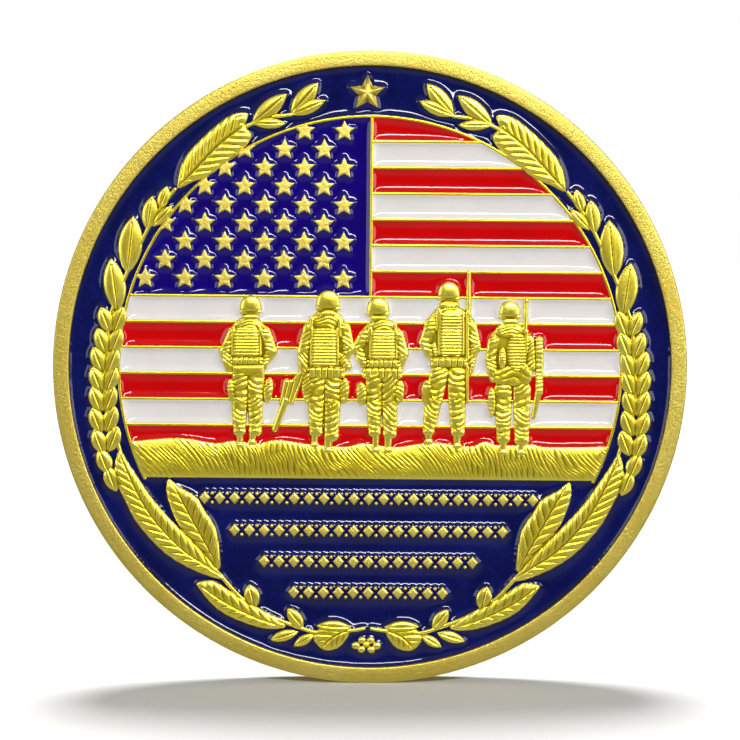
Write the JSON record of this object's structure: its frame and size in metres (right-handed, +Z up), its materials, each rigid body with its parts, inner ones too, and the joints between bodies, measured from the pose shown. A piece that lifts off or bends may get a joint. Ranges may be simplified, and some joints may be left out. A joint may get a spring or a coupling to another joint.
{
  "type": "challenge coin",
  "caption": "Round die-struck metal coin standing on its edge, soft-enamel flag, laurel wreath and figures seen from behind in relief on one face, a star on the other.",
  "frame": {"origin": "lowest point of the coin's edge, midway between its faces, where it stands on the table", "axes": "+Z up, -Y out of the obverse, +X to the obverse's right"},
  "size_m": [0.0508, 0.0032, 0.0508],
  "materials": {
    "gold_plated_metal": "gold plating, finely sandblasted, satin",
    "navy_enamel": "cured soft enamel, glossy",
    "violet_enamel": "cured soft enamel, glossy",
    "red_enamel": "cured soft enamel, glossy",
    "white_enamel": "cured soft enamel, glossy"
  },
  "bodies": {
    "root": {"struck_body": "gold_plated_metal", "obverse_field_enamel": "navy_enamel", "canton_enamel": "violet_enamel", "stripe_01_red": "red_enamel", "stripe_02_white": "white_enamel", "stripe_03_red": "red_enamel", "stripe_04_white": "white_enamel", "stripe_05_red": "red_enamel", "stripe_06_white": "white_enamel", "stripe_07_red": "red_enamel", "stripe_08_white": "white_enamel", "stripe_09_red": "red_enamel", "stripe_10_white": "white_enamel", "stripe_11_red": "red_enamel", "stripe_12_white": "white_enamel", "stripe_13_red": "red_enamel", "reverse_band_enamel": "navy_enamel"}
  },
  "joints": []
}
